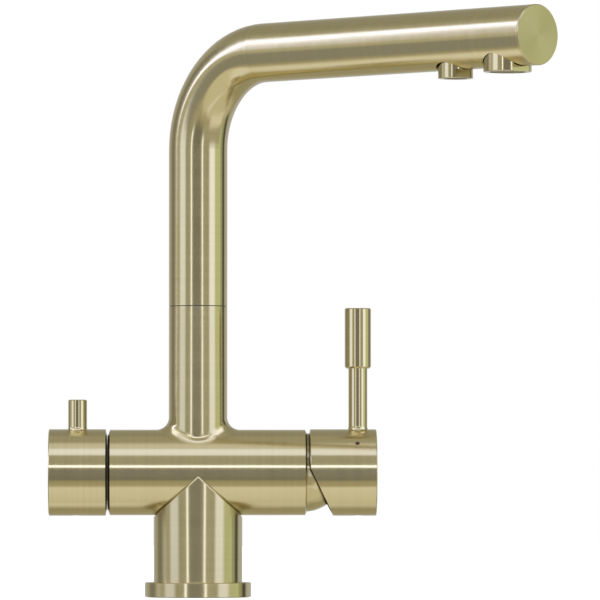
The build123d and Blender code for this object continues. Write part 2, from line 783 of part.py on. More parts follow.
cut_slope = radians(handle_cut_slope)
cut_start = (handle_left, handle_cut_top)
cut_up = handle_radius / 2
cut_down = 3 * handle_radius
cut_high = (cut_start[0] - cut_up * sin(cut_slope), cut_start[1] + cut_up * cos(cut_slope))
cut_low = (cut_start[0] + cut_down * sin(cut_slope), cut_start[1] - cut_down * cos(cut_slope))
rod_seat = handle_radius - rod_seat_depth
grub_sunk = (handle_radius - stem_square / 2) - handle_grub_length
mark_directions = (
    (0, -sin(radians(mark_angle)), cos(radians(mark_angle))),
    (0, sin(radians(mark_angle)), cos(radians(mark_angle))),
)
mark_centre = (lever_x - mark_setback, 0, bar_height)
mark_planes = [Plane(origin=mark_centre, x_dir=(1, 0, 0), z_dir=way) for way in mark_directions]
mark_floor = handle_radius + mark_proud - mark_depth

with BuildPart() as mixer_handle:
    turned(
        [
            (handle_left, handle_cavity_radius),
            (handle_left, handle_radius - handle_edge_break),
            (handle_left + handle_edge_break, handle_radius),
            (handle_right - handle_edge_break, handle_radius),
            (handle_right, handle_radius - handle_edge_break),
            (handle_right, 0),
            (handle_cavity_end, 0),
            (handle_cavity_end, handle_cavity_radius),
        ],
        bar_plane,
        bar_axis,
    )
    with BuildSketch(bar_plane):
        with BuildLine():
            Polyline(cut_high, cut_low, (cut_high[0], cut_low[1]), close=True)
        make_face()
    extrude(amount=2 * handle_radius, both=True, mode=Mode.SUBTRACT)
    with BuildSketch(bar_section(handle_cavity_end)):
        Rectangle(stem_square + 2 * handle_socket_gap, stem_square + 2 * handle_socket_gap)
    extrude(amount=handle_socket_end - handle_cavity_end, mode=Mode.SUBTRACT)
    rod_seat_top = (lever_x, 0, bar_height + handle_radius)
    drill((lever_x, 0, bar_height + rod_seat), rod_seat_top, rod_foot_diameter / 2 + press_gap)
    rod_stud_end = bar_height + rod_seat - rod_stud_length
    drill((lever_x, 0, rod_stud_end), rod_seat_top, rod_stud_diameter / 2 + press_gap)
    drill((lever_x, 0, bar_height), (lever_x, 0, bar_height - handle_radius), grub_thread / 2)
    for mark_plane in mark_planes:
        with BuildSketch(mark_plane.offset(mark_floor)):
            Circle(mark_diameter / 2 + press_gap)
        extrude(amount=mark_depth, mode=Mode.SUBTRACT)

lever_top = grip_rise + grip_length
grip_bore_end = lever_top - grip_top_wall

with BuildPart() as lever_rod:
    with BuildSketch(above_bar(lever_x)):
        with BuildLine():
            Polyline(
                (0, rod_seat - rod_stud_length + press_gap),
                (rod_stud_diameter / 2, rod_seat - rod_stud_length + press_gap),
                (rod_stud_diameter / 2, rod_seat),
                (rod_foot_diameter / 2, rod_seat),
            )
            RadiusArc(
                (rod_foot_diameter / 2, rod_seat),
                (rod_diameter / 2, rod_seat + rod_foot_flare + rod_seat_depth),
                rod_foot_flare + rod_seat_depth + (rod_foot_diameter - rod_diameter) / 2,
            )
            Polyline(
                (rod_diameter / 2, rod_seat + rod_foot_flare + rod_seat_depth),
                (rod_diameter / 2, grip_rise),
                (rod_spigot_diameter / 2, grip_rise),
                (rod_spigot_diameter / 2, grip_bore_end - free_gap),
                (0, grip_bore_end - free_gap),
                (0, rod_seat - rod_stud_length + press_gap),
            )
        make_face()
    revolve(axis=upright(lever_x))

with BuildPart() as lever_grip:
    grip_radius = grip_diameter / 2
    turned(
        [
            (rod_spigot_diameter / 2 + press_gap, grip_rise),
            (grip_radius - grip_bottom_chamfer, grip_rise),
            (grip_radius, grip_rise + grip_bottom_chamfer),
            (grip_radius, lever_top - grip_top_chamfer),
            (grip_radius - grip_top_chamfer, lever_top),
            (0, lever_top),
            (0, grip_bore_end),
            (rod_spigot_diameter / 2 + press_gap, grip_bore_end),
        ],
        above_bar(lever_x),
        upright(lever_x),
    )

with BuildPart() as handle_grub_screw:
    grub_head = bar_height - handle_radius + grub_sunk
    handle_grub_plane = Plane(origin=(lever_x, 0, grub_head), z_dir=(0, 0, -1))
    grub_screw(handle_grub_plane, handle_grub_length, grub_thread)

with BuildPart() as hot_mark:
    with BuildSketch(mark_planes[0].offset(mark_floor)):
        Circle(mark_diameter / 2)
    extrude(amount=mark_depth)

with BuildPart() as cold_mark:
    with BuildSketch(mark_planes[1].offset(mark_floor)):
        Circle(mark_diameter / 2)
    extrude(amount=mark_depth)

# ================================================================ filter valve: fixed pieces
with BuildPart() as knob_slip_ring:
    with BuildSketch(bar_section(bar_left)):
        Circle(bar_radius - bar_left_chamfer_depth - slip_ring_setback)
        Circle(headwork_flange_diameter / 2 + press_gap, mode=Mode.SUBTRACT)
    extrude(amount=free_gap - knob_gap)

seat_seal_face = valve_floor - seat_seal_thickness
valve_disc_meeting = seat_seal_face - valve_disc_thickness
spindle_flange_back = valve_disc_meeting - valve_disc_thickness
spindle_flange_front = spindle_flange_back - spindle_flange_thickness
headwork_shoulder = bar_left - press_gap
headwork_flange_front = headwork_shoulder - headwork_flange_thickness
headwork_hex_front = headwork_flange_front - headwork_hex_length
headwork_front = headwork_hex_front - headwork_neck_length
headwork_tip = valve_floor - headwork_floor_gap
headwork_chamber_end = spindle_flange_front - spindle_end_gap
headwork_waist_end = headwork_chamber_end - headwork_waist_run
headwork_seal_x = headwork_waist_end - headwork_seal_section
headwork_seal_floor = valve_bore_radius - press_gap - headwork_seal_section

valve_disc_radius = headwork_bore / 2 - valve_disc_gap
spindle_flange_radius = valve_disc_radius - running_gap

with BuildPart() as filter_seat_seal:
    with BuildSketch(bar_section(valve_floor)):
        Circle(valve_disc_radius)
        Circle(seat_seal_bore / 2, mode=Mode.SUBTRACT)
    extrude(amount=-seat_seal_thickness)

with BuildPart() as filter_fixed_disc:
    with BuildSketch(bar_section(seat_seal_face)):
        Circle(valve_disc_radius)
        with Locations((valve_disc_port_offset, 0), (-valve_disc_port_offset, 0)):
            Circle(valve_disc_port_bore / 2, mode=Mode.SUBTRACT)
    extrude(amount=-valve_disc_thickness)

with BuildPart() as filter_headwork:
    turned(
        [
            (headwork_tip, headwork_bore / 2),
            (headwork_tip, headwork_waist_radius),
            (headwork_waist_end, headwork_waist_radius),
            (headwork_waist_end, headwork_seal_floor),
            (headwork_waist_end - 2 * headwork_seal_section, headwork_seal_floor),
            (headwork_waist_end - 2 * headwork_seal_section, valve_thread_radius),
            (headwork_shoulder, valve_thread_radius),
            (headwork_shoulder, headwork_flange_diameter / 2),
            (headwork_flange_front, headwork_flange_diameter / 2),
            (headwork_flange_front, headwork_neck_diameter / 2),
            (headwork_front, headwork_neck_diameter / 2),
            (headwork_front, spindle_bore_radius),
            (headwork_chamber_end, spindle_bore_radius),
            (headwork_chamber_end, headwork_bore / 2),
        ],
        bar_plane,
        bar_axis,
    )
    with BuildSketch(bar_section(headwork_flange_front)):
        RegularPolygon(headwork_hex / 2, 6, major_radius=False)
        Circle(headwork_neck_diameter / 2 - thread_gap, mode=Mode.SUBTRACT)
    extrude(amount=-headwork_hex_length)
    # windows that let the filtered water out sideways, above and below
    with BuildSketch(bar_section(headwork_chamber_end)):
        Rectangle(headwork_window_width, 2 * valve_thread_radius)
        Circle(spindle_flange_radius, mode=Mode.SUBTRACT)
    extrude(amount=spindle_flange_thickness, mode=Mode.SUBTRACT)

with BuildPart() as headwork_seal:
    seal_ring(bar_plane, bar_axis, headwork_seal_x, valve_bore_radius - press_gap, headwork_seal_section)

# ================================================================ filter valve: turning pieces
with BuildPart() as filter_moving_disc:
    with BuildSketch(bar_section(valve_disc_meeting)):
        Circle(spindle_flange_radius)
        with Locations((0, valve_disc_port_offset), (0, -valve_disc_port_offset)):
            Circle(valve_disc_port_bore / 2, mode=Mode.SUBTRACT)
    extrude(amount=-valve_disc_thickness)

circlip_back = headwork_front - free_gap
circlip_front = circlip_back - circlip_thickness
seal_groove_radius = spindle_diameter / 2 - spindle_seal_section
seal_groove_half = spindle_seal_section / 2 + press_gap
spindle_seal_places = [headwork_chamber_end - step for step in spindle_seal_steps]
circlip_groove_radius = spindle_diameter / 2 - circlip_groove_depth
circlip_outer_radius = spindle_diameter / 2 + circlip_height
knob_cavity_end = circlip_front - knob_cavity_floor_gap
spindle_end = knob_cavity_end - spindle_grip_length

with BuildPart() as filter_spindle:
    with BuildSketch(bar_section(spindle_flange_back)):
        Circle(spindle_flange_radius)
        with Locations((0, valve_disc_port_offset), (0, -valve_disc_port_offset)):
            Circle(valve_disc_port_bore / 2, mode=Mode.SUBTRACT)
    extrude(amount=-spindle_flange_thickness)
    with BuildSketch(bar_section(spindle_flange_front)):
        Circle(spindle_diameter / 2)
    extrude(amount=spindle_end - spindle_flange_front)
    grooves = []
    for seal_x in spindle_seal_places:
        grooves.append((seal_x - seal_groove_half, seal_x + seal_groove_half, seal_groove_radius))
    grooves.append((circlip_front - press_gap, circlip_back + press_gap, circlip_groove_radius))
    for groove_left, groove_right, groove_radius in grooves:
        with BuildSketch(bar_section(groove_left)):
            Circle(spindle_diameter)
            Circle(groove_radius, mode=Mode.SUBTRACT)
        extrude(amount=groove_right - groove_left, mode=Mode.SUBTRACT)
    with BuildSketch(bar_section(spindle_end)):
        with PolarLocations(spindle_diameter / 2, spindle_spline_teeth):
            Rectangle(2 * spindle_spline_depth, spindle_diameter / spindle_spline_teeth)
    extrude(amount=spindle_spline_length, mode=Mode.SUBTRACT)

with BuildPart() as filter_spindle_seals:
    for seal_x in spindle_seal_places:
        seal_ring(bar_plane, bar_axis, seal_x, spindle_diameter / 2, spindle_seal_section)

with BuildPart() as spindle_circlip:
    with BuildSketch(bar_section(circlip_front)):
        Circle(circlip_outer_radius)
        Circle(circlip_groove_radius + press_gap, mode=Mode.SUBTRACT)
        with Locations((0, -circlip_outer_radius)):
            Rectangle(circlip_groove_radius, 2 * circlip_outer_radius, mode=Mode.SUBTRACT)
    extrude(amount=circlip_thickness)

knob_bore_end = spindle_end - free_gap
knob_cavity_radius = headwork_flange_diameter / 2 + knob_cavity_gap
knob_grub_x = (knob_cavity_end + spindle_end) / 2
pin_seat = knob_radius - pin_seat_depth
pin_stud_end = pin_seat - pin_stud_length
knob_grub_sunk = knob_radius - spindle_diameter / 2 - press_gap - knob_grub_length
knob_grub_head = bar_height - knob_radius + knob_grub_sunk

with BuildPart() as filter_knob:
    turned(
        [
            (knob_right, knob_cavity_radius),
            (knob_right, knob_radius - knob_chamfer_depth),
            (knob_right - knob_chamfer_length, knob_radius),
            (knob_left + knob_edge_break, knob_radius),
            (knob_left, knob_radius - knob_edge_break),
            (knob_left, 0),
            (knob_bore_end, 0),
            (knob_bore_end, spindle_diameter / 2 + press_gap),
            (knob_cavity_end, spindle_diameter / 2 + press_gap),
            (knob_cavity_end, knob_cavity_radius),
        ],
        bar_plane,
        bar_axis,
    )
    pin_seat_top = (pin_x, 0, bar_height + knob_radius)
    drill((pin_x, 0, bar_height + pin_seat), pin_seat_top, pin_foot_diameter / 2 + press_gap)
    drill((pin_x, 0, bar_height + pin_stud_end), pin_seat_top, pin_stud_diameter / 2 + press_gap)
    drill((knob_grub_x, 0, bar_height), (knob_grub_x, 0, bar_height - knob_radius), grub_thread / 2)

with BuildPart() as filter_pin:
    with BuildSketch(above_bar(pin_x)):
        with BuildLine():
            Polyline(
                (0, pin_stud_end + press_gap),
                (pin_stud_diameter / 2, pin_stud_end + press_gap),
                (pin_stud_diameter / 2, pin_seat),
                (pin_foot_diameter / 2, pin_seat),
            )
            RadiusArc(
                (pin_foot_diameter / 2, pin_seat),
                (pin_diameter / 2, pin_seat + pin_foot_flare + pin_seat_depth),
                pin_foot_flare + pin_seat_depth + (pin_foot_diameter - pin_diameter) / 2,
            )
            Polyline(
                (pin_diameter / 2, pin_seat + pin_foot_flare + pin_seat_depth),
                (pin_diameter / 2, pin_rise - pin_edge_chamfer),
                (pin_diameter / 2 - pin_edge_chamfer, pin_rise),
                (0, pin_rise),
                (0, pin_stud_end + press_gap),
            )
        make_face()
    revolve(axis=upright(pin_x))

with BuildPart() as knob_grub_screw:
    knob_grub_plane = Plane(origin=(knob_grub_x, 0, knob_grub_head), z_dir=(0, 0, -1))
    grub_screw(knob_grub_plane, knob_grub_length, grub_thread)

# ================================================================ spout
main_x, main_y = outlet_place(main_outlet_reach)
filtered_x, filtered_y = outlet_place(filtered_outlet_reach)
main_collar_radius = main_collar_diameter / 2
filtered_collar_radius = filtered_collar_diameter / 2

with BuildPart() as spout_tube:
    with BuildLine(spout_plane) as tube_route:
        FilletPolyline(
            (0, tube_foot), (0, spout_height), (tube_end, spout_height), radius=spout_bend_radius
        )
    with BuildSketch(Plane.XY.offset(tube_foot)):
        Circle(riser_radius)
        Circle(tube_bore_radius, mode=Mode.SUBTRACT)
    sweep(path=tube_route.wire())
    main_hole_radius = main_collar_radius + main_hole_gap
    filtered_hole_radius = filtered_collar_radius + filtered_hole_gap
    for x, y, hole_radius in (
        (main_x, main_y, main_hole_radius),
        (filtered_x, filtered_y, filtered_hole_radius),
    ):
        drill((x, y, spout_height - riser_diameter), (x, y, spout_height), hole_radius)

end_plane = Plane(
    origin=Vector(*spout_direction) * tube_end + Vector(0, 0, spout_height), z_dir=spout_direction
)

with BuildPart() as spout_end_cap:
    with BuildSketch(end_plane):
        Circle(riser_radius)
    extrude(amount=end_cap_thickness)
    outer_face = faces().sort_by(Axis(end_plane.origin, spout_direction))[-1]
    chamfer(outer_face.edges(), length=end_cap_edge_break)
    with BuildSketch(end_plane):
        Circle(tube_fit_radius)
    extrude(amount=-end_cap_plug_length)

glide_groove_radius = swivel_bore_radius - running_gap - glide_ring_wall - press_gap
upper_glide_ring_bottom = riser_top - upper_glide_ring_drop - glide_ring_length
glide_ring_bottoms = (upper_glide_ring_bottom, spigot_bottom + lower_glide_ring_rise)
spigot_seal_heights = [riser_top - drop for drop in spigot_seal_drops]
spigot_seal_floor = swivel_bore_radius - running_gap - spigot_seal_section
spigot_seal_half = spigot_seal_section / 2 + free_gap

with BuildPart() as swivel_spigot:
    turned(
        [
            (spigot_bore / 2, spigot_bottom),
            (spigot_radius, spigot_bottom),
            (spigot_radius, tube_foot),
            (tube_fit_radius, tube_foot),
            (tube_fit_radius, tube_foot + spigot_plug_length),
            (spigot_bore / 2, tube_foot + spigot_plug_length),
        ],
        Plane.XZ,
        Axis.Z,
    )
    half_groove = retainer_nose_diameter / 2 + free_gap
    retainer_groove_radius = retainer_groove_diameter / 2
    grooves = [(retainer_height - half_groove, retainer_height + half_groove, retainer_groove_radius)]
    for z in glide_ring_bottoms:
        grooves.append((z - press_gap, z + glide_ring_length + press_gap, glide_groove_radius))
    for z in spigot_seal_heights:
        grooves.append((z - spigot_seal_half, z + spigot_seal_half, spigot_seal_floor))
    for groove_bottom, groove_top, groove_radius in grooves:
        with BuildSketch(Plane.XY.offset(groove_bottom)):
            Circle(tube_fit_radius)
            Circle(groove_radius, mode=Mode.SUBTRACT)
        extrude(amount=groove_top - groove_bottom, mode=Mode.SUBTRACT)

with BuildPart() as spigot_glide_rings:
    for ring_bottom in glide_ring_bottoms:
        with BuildSketch(Plane.XY.offset(ring_bottom)):
            Circle(swivel_bore_radius - running_gap)
            Circle(swivel_bore_radius - running_gap - glide_ring_wall, mode=Mode.SUBTRACT)
        extrude(amount=glide_ring_length)

upright_profile = Plane(origin=(0, 0, 0), x_dir=(0, 0, 1), z_dir=(0, -1, 0))
spigot_seal_reach = swivel_bore_radius - running_gap

with BuildPart() as spigot_seals:
    for seal_height in spigot_seal_heights:
        seal_ring(upright_profile, Axis.Z, seal_height, spigot_seal_reach, spigot_seal_section)

# ================================================================ filtered water's own tube
filtered_stem_top = filtered_collar_top + filtered_thread_length
inner_tube_end = filtered_stem_top - inner_tube_seat_depth
nipple_radius = nipple_socket_bore / 2 - nipple_gap
nipple_seal_heights = [nipple_bottom + rise for rise in nipple_seal_rises]
nipple_seal_floor = nipple_socket_bore / 2 - running_gap - nipple_seal_section
nipple_seal_half = nipple_seal_section / 2 + 2 * press_gap

with BuildPart() as filtered_water_tube:
    with BuildLine(spout_plane) as inner_route:
        FilletPolyline(
            (0, inner_tube_bottom),
            (0, spout_height),
            (filtered_outlet_reach, spout_height),
            (filtered_outlet_reach, inner_tube_end),
            radius=(spout_bend_radius, inner_tube_elbow_radius),
        )
    with BuildSketch(Plane.XY.offset(inner_tube_bottom)):
        Circle(inner_tube_diameter / 2)
        Circle(inner_tube_bore / 2, mode=Mode.SUBTRACT)
    sweep(path=inner_route.wire())

with BuildPart() as filtered_tube_nipple:
    turned(
        [
            (nipple_bore / 2, nipple_bottom),
            (nipple_radius, nipple_bottom),
            (nipple_radius, inner_tube_bottom),
            (inner_tube_bore / 2 - press_gap, inner_tube_bottom),
            (inner_tube_bore / 2 - press_gap, inner_tube_bottom + nipple_barb_length),
            (nipple_bore / 2, inner_tube_bottom + nipple_barb_length),
        ],
        Plane.XZ,
        Axis.Z,
    )
    for seal_height in nipple_seal_heights:
        with BuildSketch(Plane.XY.offset(seal_height - nipple_seal_half)):
            Circle(nipple_radius + free_gap)
            Circle(nipple_seal_floor, mode=Mode.SUBTRACT)
        extrude(amount=2 * nipple_seal_half, mode=Mode.SUBTRACT)

nipple_seal_reach = nipple_socket_bore / 2 - running_gap

with BuildPart() as nipple_seals:
    for seal_height in nipple_seal_heights:
        seal_ring(upright_profile, Axis.Z, seal_height, nipple_seal_reach, nipple_seal_section)


# ================================================================ outlets
def outlet_boss(reach, bottom, height, diameter):
    """The saddle inside the tube that an outlet screws into, shaped to the tube's bore."""
    x, y = outlet_place(reach)
    with BuildSketch(Plane(origin=(x, y, bottom), z_dir=(0, 0, 1))) as plan:
        Circle(diameter / 2)
    extrude(plan.sketch, amount=height)
    with BuildSketch(end_plane) as bore:
        Circle(tube_fit_radius)
    extrude(bore.sketch, amount=-tube_end, mode=Mode.INTERSECT)


def key_flats(reach, bottom, height, collar_radius, depth, turn):
    """Cut the two flats that a key grips, on opposite sides of an outlet's collar."""
    x, y = outlet_place(reach)
    angle = radians(spout_turn + turn)
    flat_plane = Plane(origin=(x, y, bottom), x_dir=(cos(angle), -sin(angle), 0), z_dir=(0, 0, 1))
    with BuildSketch(flat_plane) as flats:
        with Locations((collar_radius, 0), (-collar_radius, 0)):
            Rectangle(2 * depth, 2 * collar_radius)
    extrude(flats.sketch, amount=height, mode=Mode.SUBTRACT)


def outlet_plane(reach):
    """The upright plane along the spout through an outlet's axis, drawn on as (radius, height)."""
    x, y = outlet_place(reach)
    return Plane(origin=(x, y, 0), x_dir=spout_direction, z_dir=spout_plane.z_dir)


def honeycomb(reach, bottom, height, diameter, pitch, cell, rings):
    """A round insert pierced by a hexagonal pattern of small holes that straightens the jet."""
    x, y = outlet_place(reach)
    with BuildSketch(Plane(origin=(x, y, bottom), x_dir=spout_direction, z_dir=(0, 0, 1))) as plan:
        Circle(diameter / 2)
        for ring in range(rings):
            holes = max(6 * ring, 1)  # a hexagonal pattern gains six holes with each ring
            with PolarLocations(ring * pitch, holes):
                Circle(cell / 2, mode=Mode.SUBTRACT)
    extrude(plan.sketch, amount=height)


main_insert_bottom = main_collar_bottom + main_insert_lift
main_insert_top = main_insert_bottom + main_insert_height
main_washer_top = main_insert_top + main_washer_thickness
main_stem_top = main_collar_top + main_thread_length
main_bore_radius = main_insert_diameter / 2 + press_gap

with BuildPart() as main_outlet_boss:
    outlet_boss(main_outlet_reach, main_collar_top + thread_gap, main_boss_height, main_boss_diameter)
    thread_radius = main_thread_diameter / 2 + thread_gap
    drill((main_x, main_y, main_collar_bottom), (main_x, main_y, spout_height), thread_radius)

with BuildPart() as main_aerator_housing:
    turned(
        [
            (main_bore_radius, main_collar_bottom),
            (main_collar_radius, main_collar_bottom),
            (main_collar_radius, main_collar_top),
            (main_thread_diameter / 2, main_collar_top),
            (main_thread_diameter / 2, main_stem_top),
            (main_thread_bore / 2, main_stem_top),
            (main_thread_bore / 2, main_washer_top),
            (main_bore_radius, main_washer_top),
        ],
        outlet_plane(main_outlet_reach),
        upright(main_x, main_y),
    )
    rim = edges().group_by(Axis.Z)[0].sort_by(SortBy.LENGTH)[-1]
    fillet(rim, radius=main_collar_round)
    key_flats(
        main_outlet_reach,
        main_collar_bottom,
        main_flat_height,
        main_collar_radius,
        main_flat_depth,
        main_flat_turn,
    )

with BuildPart() as main_aerator_insert:
    honeycomb(
        main_outlet_reach,
        main_insert_bottom,
        main_insert_height,
        main_insert_diameter,
        main_cell_pitch,
        main_cell_diameter,
        main_cell_rings,
    )

with BuildPart() as main_aerator_washer:
    with BuildSketch(Plane(origin=(main_x, main_y, main_insert_top), z_dir=(0, 0, 1))):
        Circle(main_insert_diameter / 2)
        Circle(main_thread_bore / 2, mode=Mode.SUBTRACT)
    extrude(amount=main_washer_thickness)

filtered_insert_bottom = filtered_collar_bottom + filtered_insert_lift
filtered_insert_top = filtered_insert_bottom + filtered_insert_height
filtered_washer_top = filtered_insert_top + filtered_washer_thickness
filtered_bore_radius = filtered_insert_diameter / 2 + press_gap
filtered_throat_radius = filtered_throat_bore / 2
tube_seat_floor = inner_tube_end - thread_gap
tube_seat_radius = inner_tube_diameter / 2 + press_gap
filtered_thread_radius = filtered_thread_diameter / 2

with BuildPart() as filtered_outlet_boss:
    boss_bottom = filtered_collar_top + thread_gap
    outlet_boss(filtered_outlet_reach, boss_bottom, filtered_boss_height, filtered_boss_diameter)
    thread_end = filtered_stem_top + thread_gap
    thread_radius = filtered_thread_radius + thread_gap
    drill((filtered_x, filtered_y, boss_bottom), (filtered_x, filtered_y, thread_end), thread_radius)
    boss_opening_end = (filtered_x, filtered_y, spout_height)
    drill((filtered_x, filtered_y, boss_bottom), boss_opening_end, filtered_boss_opening / 2)

with BuildPart() as filtered_outlet_housing:
    turned(
        [
            (filtered_bore_radius, filtered_collar_bottom),
            (filtered_collar_radius, filtered_collar_bottom),
            (filtered_collar_radius, filtered_collar_top),
            (filtered_thread_radius, filtered_collar_top),
            (filtered_thread_radius, filtered_stem_top),
            (tube_seat_radius, filtered_stem_top),
            (tube_seat_radius, tube_seat_floor),
            (filtered_throat_radius, tube_seat_floor),
            (filtered_throat_radius, filtered_washer_top),
            (filtered_bore_radius, filtered_washer_top),
        ],
        outlet_plane(filtered_outlet_reach),
        upright(filtered_x, filtered_y),
    )
    rim = edges().group_by(Axis.Z)[0].sort_by(SortBy.LENGTH)[-1]
    fillet(rim, radius=filtered_collar_round)
    key_flats(
        filtered_outlet_reach,
        filtered_collar_bottom,
        filtered_flat_height,
        filtered_collar_radius,
        filtered_flat_depth,
        filtered_flat_turn,
    )

with BuildPart() as filtered_outlet_insert:
    honeycomb(
        filtered_outlet_reach,
        filtered_insert_bottom,
        filtered_insert_height,
        filtered_insert_diameter,
        filtered_cell_pitch,
        filtered_cell_diameter,
        filtered_cell_rings,
    )

with BuildPart() as filtered_outlet_washer:
    with BuildSketch(Plane(origin=(filtered_x, filtered_y, filtered_insert_top), z_dir=(0, 0, 1))):
        Circle(filtered_insert_diameter / 2)
        Circle(filtered_throat_radius, mode=Mode.SUBTRACT)
    extrude(amount=filtered_washer_thickness)

# ================================================================ one file for each piece
pieces = {
    "tap_body": tap_body,
    "body_column": body_column,
    "base_flange": base_flange,
    "base_gasket": base_gasket,
    "thrust_ring": thrust_ring,
    "spout_retaining_screw": spout_retaining_screw,
    "cartridge_port_seals": cartridge_port_seals,
    "cartridge_base": cartridge_base,
    "cartridge_fixed_disc": cartridge_fixed_disc,
    "cartridge_case": cartridge_case,
    "cartridge_nut": cartridge_nut,
    "dome_cover": dome_cover,
    "cartridge_rotor": cartridge_rotor,
    "stem_pin": stem_pin,
    "cartridge_moving_disc": cartridge_moving_disc,
    "cartridge_disc_carrier": cartridge_disc_carrier,
    "cartridge_stem": cartridge_stem,
    "mixer_handle": mixer_handle,
    "lever_rod": lever_rod,
    "lever_grip": lever_grip,
    "handle_grub_screw": handle_grub_screw,
    "hot_mark": hot_mark,
    "cold_mark": cold_mark,
    "filter_seat_seal": filter_seat_seal,
    "filter_fixed_disc": filter_fixed_disc,
    "filter_headwork": filter_headwork,
    "headwork_seal": headwork_seal,
    "knob_slip_ring": knob_slip_ring,
    "filter_moving_disc": filter_moving_disc,
    "filter_spindle": filter_spindle,
    "filter_spindle_seals": filter_spindle_seals,
    "spindle_circlip": spindle_circlip,
    "filter_knob": filter_knob,
    "filter_pin": filter_pin,
    "knob_grub_screw": knob_grub_screw,
    "spout_tube": spout_tube,
    "spout_end_cap": spout_end_cap,
    "swivel_spigot": swivel_spigot,
    "spigot_glide_rings": spigot_glide_rings,
    "spigot_seals": spigot_seals,
    "filtered_water_tube": filtered_water_tube,
    "filtered_tube_nipple": filtered_tube_nipple,
    "nipple_seals": nipple_seals,
    "main_outlet_boss": main_outlet_boss,
    "main_aerator_housing": main_aerator_housing,
    "main_aerator_insert": main_aerator_insert,
    "main_aerator_washer": main_aerator_washer,
    "filtered_outlet_boss": filtered_outlet_boss,
    "filtered_outlet_housing": filtered_outlet_housing,
    "filtered_outlet_insert": filtered_outlet_insert,
    "filtered_outlet_washer": filtered_outlet_washer,
}
for name, piece in pieces.items():
    piece.part.label = name
    export_step(piece.part, f"parts/{name}.step")
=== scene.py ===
import math

import bpy
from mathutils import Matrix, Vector


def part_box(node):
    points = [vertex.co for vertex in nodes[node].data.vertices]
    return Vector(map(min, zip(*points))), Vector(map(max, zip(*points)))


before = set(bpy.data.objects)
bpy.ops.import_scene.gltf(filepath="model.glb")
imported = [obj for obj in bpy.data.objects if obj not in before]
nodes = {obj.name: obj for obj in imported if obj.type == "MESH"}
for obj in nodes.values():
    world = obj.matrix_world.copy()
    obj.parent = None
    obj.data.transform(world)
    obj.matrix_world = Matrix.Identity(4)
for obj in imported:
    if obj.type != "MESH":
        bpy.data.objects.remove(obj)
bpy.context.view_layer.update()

scene = bpy.context.scene
MM = 0.001


# ---------------------------------------------------------------- small helpers for node trees
class Tree:
    """A node tree, with one call for each kind of node that the materials and the light use."""

    def __init__(self, tree):
        self.tree = tree
        tree.nodes.clear()

    def node(self, kind, inputs=(), **settings):
        made = self.tree.nodes.new(kind)
        for key, value in settings.items():
            setattr(made, key, value)
        for key, value in dict(inputs).items():
            self.put(value, made.inputs[key])
        return made

    def put(self, value, socket):
        if isinstance(value, bpy.types.NodeSocket):
            self.tree.links.new(value, socket)
        else:
            socket.default_value = value

    def math(self, operation, *values):
        return self.node("ShaderNodeMath", enumerate(values), operation=operation).outputs[0]

    def vector(self, operation, *values):
        made = self.node("ShaderNodeVectorMath", operation=operation)
        for index, value in enumerate(values):
            if operation == "SCALE" and index == 1:
                index = 3
            self.put(value, made.inputs[index])
        return made.outputs["Value" if operation in ("DOT_PRODUCT", "LENGTH") else "Vector"]

    def parts(self, vector):
        return self.node("ShaderNodeSeparateXYZ", {0: vector}).outputs

    def combine(self, x, y, z):
        return self.node("ShaderNodeCombineXYZ", {0: x, 1: y, 2: z}).outputs[0]

    def span(self, value, low, high, to_low=0.0, to_high=1.0, smooth=True):
        made = self.node(
            "ShaderNodeMapRange",
            {0: value, 1: low, 2: high, 3: to_low, 4: to_high},
            interpolation_type="SMOOTHSTEP" if smooth else "LINEAR",
        )
        return made.outputs[0]

    def band(self, angle, centre, half_width, softness):
        """1 within half_width of the centre, 0 once softness further out; degrees, round the circle."""
        away = self.math("WRAP", self.math("SUBTRACT", angle, centre), 180.0, -180.0)
        away = self.math("ABSOLUTE", away)
        return self.span(away, half_width, half_width + softness, 1.0, 0.0)

    def mix(self, factor, first, second):
        made = self.node("ShaderNodeMix", data_type="RGBA")
        self.put(factor, made.inputs[0])
        self.put(first, made.inputs[6])
        self.put(second, made.inputs[7])
        return made.outputs[2]

    def noise(self, vector, scale, detail, roughness):
        made = self.node(
            "ShaderNodeTexNoise",
            {"Vector": vector, "Scale": scale, "Detail": detail, "Roughness": roughness},
        )
        return made.outputs[0]


def grey(level):
    return (level, level, level, 1.0)


# ---------------------------------------------------------------- camera
CAMERA_PLACE = Vector((-7.3, -2982.0, 53.96)) * MM
CAMERA_YAW = math.radians(1.08)
CAMERA_PITCH = math.radians(1.70)
CAMERA_LENS = 372.8  # mm
CAMERA_SENSOR = 36.0  # mm wide
CAMERA_NEAR = 0.05
CAMERA_FAR = 50.0

camera_data = bpy.data.cameras.new("camera")
camera_data.lens = CAMERA_LENS
camera_data.sensor_width = CAMERA_SENSOR
camera_data.clip_start = CAMERA_NEAR
camera_data.clip_end = CAMERA_FAR
camera = bpy.data.objects.new("camera", camera_data)
scene.collection.objects.link(camera)
looking = Vector((
    math.sin(CAMERA_YAW) * math.cos(CAMERA_PITCH),
    math.cos(CAMERA_YAW) * math.cos(CAMERA_PITCH),
    math.sin(CAMERA_PITCH),
))
camera.location = CAMERA_PLACE
camera.rotation_euler = looking.to_track_quat("-Z", "Y").to_euler()
scene.camera = camera
scene.view_settings.view_transform = "Standard"

# ---------------------------------------------------------------- light: soft boxes in a pale room
WARM = (1.0, 0.98, 0.84)
CREAM = (0.95, 1.0, 1.3)
ICE = (0.93, 1.0, 1.7)
GREEN = (0.90, 1.0, 0.69)
SAND = (1.0, 0.985, 1.0)
OLIVE = (1.0, 0.94, 0.70)
PLAIN = (1.0, 1.0, 1.0)
